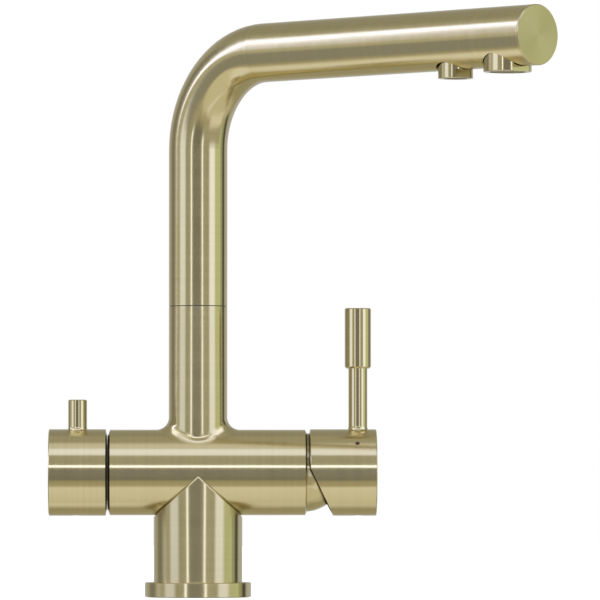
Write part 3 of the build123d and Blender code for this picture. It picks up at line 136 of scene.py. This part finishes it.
# Each panel: azimuth (0 towards the camera, + to its right) and elevation, each as a centre, half width and
# softness in degrees, then brightness and tint. Later panels cover earlier ones.
PANELS = (
    ("walls", (0, 180, 1), (0, 90, 1), 0.46, WARM),
    ("low band", (0, 180, 1), (-35, 10, 7), 0.50, OLIVE),
    ("floor", (0, 180, 1), (-90, 48, 6), 0.99, SAND),
    ("floor left", (-46, 34, 10), (-90, 54, 6), 0.79, WARM),
    ("floor side", (58, 44, 14), (-90, 44, 8), 0.76, WARM),
    ("floor back right", (134, 30, 12), (-90, 54, 8), 0.66, WARM),
    ("floor behind", (180, 38, 26), (-50, 14, 22), 0.44, OLIVE),
    ("floor right", (62, 22, 16), (-36, 7, 8), 0.95, SAND),
    ("front left", (-46, 20, 12), (40, 10, 10), 0.95, PLAIN),
    ("top glow", (0, 50, 25), (70, 8, 12), 0.80, PLAIN),
    ("top box", (0, 40, 22), (56, 7, 5), 1.2, CREAM),
    ("right arc", (46, 14, 10), (38, 6, 8), 1.4, CREAM),
    ("left wall", (-84, 16, 10), (20, 30, 8), 0.58, WARM),
    ("left high", (-76, 14, 8), (50, 14, 8), 1.6, CREAM),
    ("left strip", (-96, 2.2, 2.2), (22, 12, 7), 3.0, ICE),
    ("left box", (-64, 8, 9), (1, 7, 5), 1.25, CREAM),
    ("right wall", (86, 15, 10), (0, 18, 14), 0.80, GREEN),
    ("right far", (104, 3, 4), (0, 18, 14), 0.48, GREEN),
    ("right back", (150, 18, 8), (0, 20, 10), 0.56, PLAIN),
    ("right high", (70, 18, 8), (34, 12, 8), 1.6, CREAM),
    ("right box", (57, 8, 9), (10, 16, 8), 1.42, CREAM),
    ("left low", (-80, 28, 12), (-18, 12, 6), 0.36, PLAIN),
    ("right low", (52, 34, 14), (-15, 8, 8), 0.50, WARM),
    ("camera side", (-6, 11, 7), (-6, 13, 7), 0.25, PLAIN),
    ("left slit", (-27, 1.0, 2.4), (2, 11, 5), 1.9, CREAM),
    ("right slit", (16.5, 1.0, 2.4), (2, 11, 5), 1.9, CREAM),
    ("front slit", (-2, 30, 12), (15.8, 1.2, 2.0), 2.9, CREAM),
    ("left seam", (-118, 7, 8), (0, 24, 10), 0.28, PLAIN),
    ("right seam", (119, 5, 5), (-2, 24, 10), 0.10, PLAIN),
    ("back high", (180, 60, 12), (48, 14, 8), 0.38, WARM),
    ("backdrop", (180, 24, 14), (0, 16, 10), 0.55, PLAIN),
)

world = bpy.data.worlds.new("studio")
scene.world = world
world.use_nodes = True
sky = Tree(world.node_tree)
direction = sky.node("ShaderNodeTexCoord").outputs["Generated"]
east, north, up = sky.parts(sky.vector("NORMALIZE", direction))
azimuth = sky.math("DEGREES", sky.math("ARCTAN2", east, sky.math("MULTIPLY", north, -1.0)))
elevation = sky.math("DEGREES", sky.math("ARCSINE", up))
room = grey(0.0)
for _, across, height, brightness, tint in PANELS:
    lit = tuple(brightness * part for part in tint) + (1.0,)
    covered = sky.math("MULTIPLY", sky.band(azimuth, *across), sky.band(elevation, *height))
    room = sky.mix(covered, room, lit)
# the camera itself sees plain white behind the tap
seen = sky.node("ShaderNodeLightPath").outputs["Is Camera Ray"]
shown = sky.mix(seen, room, grey(1.0))
background = sky.node("ShaderNodeBackground", {"Color": shown, "Strength": 1.0})
sky.node("ShaderNodeOutputWorld", {"Surface": background.outputs[0]})

# ---------------------------------------------------------------- floor
FLOOR_HALF_WIDTH = 2.5
FLOOR_LEVEL = -0.2 * MM
PAPER_SHADE = 0.85
PAPER_ROUGHNESS = 0.8
PAPER_SHINE = 0.1
PAPER_GLOW = 0.72
floor_mesh = bpy.data.meshes.new("floor")
corners = [(-1, -1), (1, -1), (1, 1), (-1, 1)]
floor_mesh.from_pydata(
    [(x * FLOOR_HALF_WIDTH, y * FLOOR_HALF_WIDTH, FLOOR_LEVEL) for x, y in corners], [], [(0, 1, 2, 3)]
)
floor = bpy.data.objects.new("floor", floor_mesh)
scene.collection.objects.link(floor)
floor_material = bpy.data.materials.new("floor")
floor_material.use_nodes = True
paper = Tree(floor_material.node_tree)
surface = paper.node(
    "ShaderNodeBsdfPrincipled",
    {
        "Base Color": grey(PAPER_SHADE),
        "Roughness": PAPER_ROUGHNESS,
        "Specular IOR Level": PAPER_SHINE,
        "Emission Color": grey(1.0),
        "Emission Strength": PAPER_GLOW,
    },
)
paper.node("ShaderNodeOutputMaterial", {"Surface": surface.outputs[0]})
floor_mesh.materials.append(floor_material)
floor.visible_glossy = False

# ---------------------------------------------------------------- materials
GOLD = (0.645, 0.565, 0.328, 1.0)
BRASS = (0.75, 0.57, 0.25, 1.0)
STEEL = (0.60, 0.60, 0.58, 1.0)
BAR_HEIGHT = 59.7 * MM
AXES = {"X": (1.0, 0.0, 0.0), "Y": (0.0, 1.0, 0.0), "Z": (0.0, 0.0, 1.0)}
ORIGIN = (0.0, 0.0, 0.0)
ON_BAR = (0.0, 0.0, BAR_HEIGHT)
TINY = 1e-6  # keeps lengths away from zero

# Values between which a noise mostly stays
NOISE_RANGE = (0.3, 0.7)
WIDE_NOISE_RANGE = (0.25, 0.75)

# Brush lines: their size, then how far they change the shade, the roughness and the surface
GRAIN_WIDTH = 0.4 * MM  # across the lines
GRAIN_LENGTH = 60 * MM  # along them
BROAD_GRAIN = 0.2  # scale of the broad lines from the fine ones
GRAIN_SHADE = 0.02
GRAIN_ROUGHNESS = 0.015
GRAIN_BUMP = 0.1
GRAIN_DEPTH = 0.001 * MM
CLOUD_SCALE = 38.0  # slow unevenness
CLOUD_ROUGHNESS = 0.01

# Finishes of metal: roughness, anisotropy and strength of the grain
SATIN = (0.18, 0.8, 1.0)
TUBE_SATIN = (0.16, 0.65, 1.0)
THIN_SATIN = (0.08, 0.3, 0.3)
COLLAR_SATIN = (0.1, 0.3, 0.3)
CAP_SATIN = (0.3, 0.5, 0.3)
MACHINED = (0.3, 0.6, 1.5)
STAINLESS = (0.28, 0.6, 1.2)

# Painted shade: the metal's colour is darkened in crevices and gaps, found by ambient occlusion
PAINTED_SHADE_REACH = 4 * MM  # within which one surface darkens another
# Painted shade near other surfaces: openness where that painted darkening is full and where it ends, then
# the shade at its darkest
CREVICE_PAINTED_SHADE = (0.10, 0.60, 0.68)
# a stronger painted shade, for narrow gaps that should read as dark shadow
DEEP_CREVICE_PAINTED_SHADE = (0.48, 0.72, 0.10)


def new_material(name):
    material = bpy.data.materials.new(name)
    material.use_nodes = True
    return material, Tree(material.node_tree)


def place_in_part(tree):
    return tree.node("ShaderNodeTexCoord").outputs["Object"]


def turning(tree, place, axis, centre):
    """Distance along an axis, distance from it, and the direction round it."""
    arm = tree.vector("SUBTRACT", place, centre)
    along = tree.vector("DOT_PRODUCT", arm, axis)
    around = tree.vector("CROSS_PRODUCT", axis, arm)
    radius = tree.vector("LENGTH", around)
    return along, radius, tree.vector("NORMALIZE", around)


def finish_brushed(tree, along, radius, around, place, colour, finish, painted_shade=CREVICE_PAINTED_SHADE):
    """Metal brushed along "around": fine lines, long glints across them, a little unevenness, and painted
    shade where other surfaces are near.
    """
    roughness, aniso, grain = finish
    lines = tree.combine(
        tree.math("MULTIPLY", along, 1 / GRAIN_WIDTH), tree.math("MULTIPLY", radius, 1 / GRAIN_WIDTH), 0.0
    )
    lines = tree.vector("ADD", lines, tree.vector("SCALE", place, 1 / GRAIN_LENGTH))
    fine = tree.noise(lines, 1.0, 1.0, 0.5)
    broad = tree.noise(tree.vector("SCALE", lines, BROAD_GRAIN), 1.0, 2.0, 0.5)
    cloud = tree.noise(place, CLOUD_SCALE, 2.0, 0.5)
    depth = GRAIN_SHADE * grain
    shade = tree.math("ADD", tree.span(fine, *NOISE_RANGE, -depth, depth, False), 1.0)
    shade = tree.math("ADD", shade, tree.span(broad, *NOISE_RANGE, -depth, depth, False))
    # painted shade: the colour darkens where ambient occlusion finds other surfaces close by
    closed, clear, darkest = painted_shade
    openness = tree.node("ShaderNodeAmbientOcclusion", {"Distance": PAINTED_SHADE_REACH}, samples=16)
    openness = openness.outputs["AO"]
    shade = tree.math("MULTIPLY", shade, tree.span(openness, closed, clear, darkest, 1.0))
    base = tree.node("ShaderNodeMix", data_type="RGBA", blend_type="MULTIPLY")
    tree.put(1.0, base.inputs[0])
    tree.put(colour, base.inputs[6])
    tree.put(tree.combine(shade, shade, shade), base.inputs[7])
    least, most = roughness - GRAIN_ROUGHNESS, roughness + GRAIN_ROUGHNESS
    rough = tree.span(broad, *WIDE_NOISE_RANGE, least, most, False)
    uneven = tree.span(cloud, *NOISE_RANGE, -CLOUD_ROUGHNESS, CLOUD_ROUGHNESS, False)
    rough = tree.math("ADD", rough, uneven)
    bump = tree.node(
        "ShaderNodeBump", {"Strength": GRAIN_BUMP * grain, "Distance": GRAIN_DEPTH, "Height": fine}
    )
    normal = tree.node("ShaderNodeNewGeometry").outputs["Normal"]
    turned = tree.node(
        "ShaderNodeVectorTransform",
        {0: around},
        vector_type="VECTOR",
        convert_from="OBJECT",
        convert_to="WORLD",
    )
    across = tree.vector("NORMALIZE", tree.vector("CROSS_PRODUCT", normal, turned.outputs[0]))
    shader = tree.node(
        "ShaderNodeBsdfPrincipled",
        {
            "Base Color": base.outputs[2],
            "Metallic": 1.0,
            "Roughness": rough,
            "Anisotropic": aniso,
            "Normal": bump.outputs[0],
            "Tangent": across,
        },
    )
    tree.node("ShaderNodeOutputMaterial", {"Surface": shader.outputs[0]})


def turned_metal(name, colour, axis, centre, finish=SATIN, painted_shade=CREVICE_PAINTED_SHADE):
    """Metal brushed round one axis, with painted shade where other surfaces are near."""
    material, tree = new_material(name)
    place = place_in_part(tree)
    along, radius, around = turning(tree, place, axis, centre)
    finish_brushed(tree, along, radius, around, place, colour, finish, painted_shade)
    return material


def choose(tree, factor, first, second):
    made = tree.node("ShaderNodeMix", data_type="VECTOR")
    tree.put(factor, made.inputs[0])
    tree.put(first, made.inputs[4])
    tree.put(second, made.inputs[5])
    return made.outputs[1]


def choose_value(tree, factor, first, second):
    made = tree.node("ShaderNodeMix", data_type="FLOAT")
    tree.put(factor, made.inputs[0])
    tree.put(first, made.inputs[2])
    tree.put(second, made.inputs[3])
    return made.outputs[0]


# From the crossbar's axis: where the brushing starts to turn towards the riser's, and where it has
ROOT_START = 21.2 * MM
ROOT_END = 25.5 * MM


def body_metal():
    """Crossbar brushed round its own axis, riser round the swivel's; they meet in the root fillet."""
    material, tree = new_material("brushed_gold_body")
    place = place_in_part(tree)
    bar = turning(tree, place, AXES["X"], ON_BAR)
    riser = turning(tree, place, AXES["Z"], ORIGIN)
    share = tree.span(bar[1], ROOT_START, ROOT_END)
    share = tree.math("MULTIPLY", share, tree.math("GREATER_THAN", tree.parts(place)[2], BAR_HEIGHT))
    along = choose_value(tree, share, bar[0], riser[0])
    radius = choose_value(tree, share, bar[1], riser[1])
    around = tree.vector("NORMALIZE", choose(tree, share, bar[2], riser[2]))
    finish_brushed(tree, along, radius, around, place, GOLD, SATIN)
    return material


SPOUT_TURN = math.radians(-44.8)
SPOUT_ALONG = (math.cos(SPOUT_TURN), math.sin(SPOUT_TURN), 0.0)
SPOUT_BEND = 44.5 * MM  # radius of the bend's centre line
SPOUT_HEIGHT = 259.2 * MM
BEND_START = SPOUT_HEIGHT - SPOUT_BEND  # height at which the riser turns into the bend


def tube_metal():
    """The bent tube, brushed round its own centre line: riser, bend and arm."""
    material, tree = new_material("brushed_gold_tube")
    place = place_in_part(tree)
    outward = tree.vector("DOT_PRODUCT", place, SPOUT_ALONG)
    height = tree.parts(place)[2]
    past_bend = tree.math("SUBTRACT", outward, SPOUT_BEND)
    over_riser = tree.math("SUBTRACT", height, BEND_START)
    # u is 0 along the arm and w is 0 up the riser, so (u, w) points from the bend's centre to the tube
    u = tree.math("MINIMUM", past_bend, 0.0)
    w = tree.math("MAXIMUM", over_riser, 0.0)
    minus_u = tree.math("MULTIPLY", u, -1.0)
    flat = tree.vector("SCALE", SPOUT_ALONG, w)
    direction = tree.vector("ADD", flat, tree.combine(0.0, 0.0, minus_u))
    direction = tree.vector("NORMALIZE", tree.vector("ADD", direction, (0.0, 0.0, TINY)))
    # centre of the tube's section beside this point
    squares = tree.math("ADD", tree.math("MULTIPLY", u, u), tree.math("MULTIPLY", w, w))
    reach = tree.math("MAXIMUM", tree.math("SQRT", squares), TINY)
    scale = tree.math("DIVIDE", SPOUT_BEND, reach)
    centre_u = tree.math("ADD", tree.math("MULTIPLY", u, scale), SPOUT_BEND)
    centre_u = tree.math("ADD", centre_u, tree.math("MAXIMUM", past_bend, 0.0))
    centre_w = tree.math("ADD", tree.math("MULTIPLY", w, scale), BEND_START)
    centre_w = tree.math("ADD", centre_w, tree.math("MINIMUM", over_riser, 0.0))
    centre = tree.vector("SCALE", SPOUT_ALONG, centre_u)
    centre = tree.vector("ADD", centre, tree.combine(0.0, 0.0, centre_w))
    arm = tree.vector("SUBTRACT", place, centre)
    around = tree.vector("CROSS_PRODUCT", direction, arm)
    radius = tree.vector("LENGTH", around)
    # length along the centre line: up the riser, round the bend, out along the arm
    bend_length = tree.math("MULTIPLY", tree.math("ARCTAN2", w, minus_u), SPOUT_BEND)
    along = tree.math("ADD", tree.math("MINIMUM", height, BEND_START), bend_length)
    along = tree.math("ADD", along, tree.math("MAXIMUM", outward, SPOUT_BEND))
    around = tree.vector("NORMALIZE", around)
    finish_brushed(tree, along, radius, around, place, GOLD, TUBE_SATIN)
    return material


# Moulded skins: size and depth of the mottling, then change of roughness and strength of the fine bumps
MOTTLE_SCALE = 0.12  # from the fine bumps' scale
MOTTLE_SHADE = 0.86
SKIN_ROUGHNESS = 0.05
SKIN_BUMP = 0.4


def moulded(name, colour, roughness, scale, depth, coat=0.0):
    """Moulded plastic, rubber, ceramic or enamel: a fine, even skin with slight mottling."""
    material, tree = new_material(name)
    place = place_in_part(tree)
    skin = tree.noise(place, scale, 3.0, 0.6)
    mottle = tree.noise(place, scale * MOTTLE_SCALE, 2.0, 0.5)
    darker = tuple(part * MOTTLE_SHADE for part in colour[:3]) + (1.0,)
    base = tree.mix(tree.span(mottle, *NOISE_RANGE), darker, colour)
    rough = tree.span(skin, *NOISE_RANGE, roughness - SKIN_ROUGHNESS, roughness + SKIN_ROUGHNESS)
    bump = tree.node("ShaderNodeBump", {"Strength": SKIN_BUMP, "Distance": depth * MM, "Height": skin})
    shader = tree.node(
        "ShaderNodeBsdfPrincipled",
        {"Base Color": base, "Roughness": rough, "Coat Weight": coat, "Normal": bump.outputs[0]},
    )
    tree.node("ShaderNodeOutputMaterial", {"Surface": shader.outputs[0]})
    return material


def dress(name, material):
    nodes[name].data.materials.clear()
    nodes[name].data.materials.append(material)


def middle(name):
    low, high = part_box(name)
    return tuple((low + high) / 2)


dress("tap_body", body_metal())
dress("spout_tube", tube_metal())
upright_gold = turned_metal("brushed_gold_column", GOLD, AXES["Z"], ORIGIN)
for name in ("body_column", "base_flange"):
    dress(name, upright_gold)
bar_gold = turned_metal("brushed_gold_bar", GOLD, AXES["X"], ON_BAR)
for name in ("mixer_handle", "filter_knob"):
    dress(name, bar_gold)
# deep painted shade darkens the dome in the narrow gap at the handle's edge
dome_gold = turned_metal("brushed_gold_dome", GOLD, AXES["X"], ON_BAR, painted_shade=DEEP_CREVICE_PAINTED_SHADE)
dress("dome_cover", dome_gold)
lever_gold = turned_metal("brushed_gold_lever", GOLD, AXES["Z"], middle("lever_grip"), THIN_SATIN)
for name in ("lever_rod", "lever_grip"):
    dress(name, lever_gold)
pin_gold = turned_metal("brushed_gold_pin", GOLD, AXES["Z"], middle("filter_pin"), THIN_SATIN)
dress("filter_pin", pin_gold)
for name in ("main_aerator_housing", "filtered_outlet_housing"):
    dress(name, turned_metal("brushed_gold_" + name, GOLD, AXES["Z"], middle(name), COLLAR_SATIN))
cap_gold = turned_metal("brushed_gold_cap", GOLD, SPOUT_ALONG, middle("spout_end_cap"), CAP_SATIN)
dress("spout_end_cap", cap_gold)

brass = turned_metal("machined_brass", BRASS, AXES["X"], ON_BAR, MACHINED)
for name in ("cartridge_nut", "filter_headwork", "filter_spindle"):
    dress(name, brass)
upright_brass = turned_metal("machined_brass_upright", BRASS, AXES["Z"], ORIGIN, MACHINED)
for name in ("swivel_spigot", "filtered_tube_nipple"):
    dress(name, upright_brass)
for name in ("main_outlet_boss", "filtered_outlet_boss"):
    dress(name, turned_metal("machined_brass_" + name, BRASS, AXES["Z"], middle(name), MACHINED))
for name, axis in (
    ("spout_retaining_screw", "Y"),
    ("stem_pin", "Y"),
    ("cartridge_stem", "X"),
    ("handle_grub_screw", "Z"),
    ("knob_grub_screw", "Z"),
    ("spindle_circlip", "X"),
):
    dress(name, turned_metal("stainless_" + name, STEEL, AXES[axis], middle(name), STAINLESS))

# roughness, scale of the fine bumps, their depth in mm, and a clear coat where there is one
acetal = moulded("white_acetal", (0.80, 0.80, 0.77, 1.0), 0.45, 900.0, 0.01)
for name in (
    "cartridge_base",
    "cartridge_case",
    "cartridge_rotor",
    "cartridge_disc_carrier",
    "spigot_glide_rings",
):
    dress(name, acetal)
grey_acetal = moulded("grey_acetal", (0.36, 0.37, 0.36, 1.0), 0.45, 900.0, 0.01)
for name in ("main_aerator_insert", "filtered_outlet_insert"):
    dress(name, grey_acetal)
ceramic = moulded("lapped_ceramic", (0.86, 0.85, 0.82, 1.0), 0.18, 1500.0, 0.002, 0.3)
for name in ("cartridge_fixed_disc", "cartridge_moving_disc", "filter_fixed_disc", "filter_moving_disc"):
    dress(name, ceramic)
rubber = moulded("black_rubber", (0.035, 0.035, 0.036, 1.0), 0.62, 1200.0, 0.02)
for name in (
    "base_gasket",
    "cartridge_port_seals",
    "filter_seat_seal",
    "headwork_seal",
    "filter_spindle_seals",
    "spigot_seals",
    "nipple_seals",
    "main_aerator_washer",
    "filtered_outlet_washer",
):
    dress(name, rubber)
dark_acetal = moulded("dark_acetal", (0.06, 0.06, 0.06, 1.0), 0.5, 1000.0, 0.01)
for name in ("thrust_ring", "knob_slip_ring"):
    dress(name, dark_acetal)
dress("filtered_water_tube", moulded("drawn_tube", (0.82, 0.83, 0.82, 1.0), 0.35, 500.0, 0.01))
dress("hot_mark", moulded("red_enamel", (0.10, 0.006, 0.014, 1.0), 0.3, 1500.0, 0.004, 0.2))
dress("cold_mark", moulded("blue_enamel", (0.01, 0.03, 0.16, 1.0), 0.3, 1500.0, 0.004, 0.2))
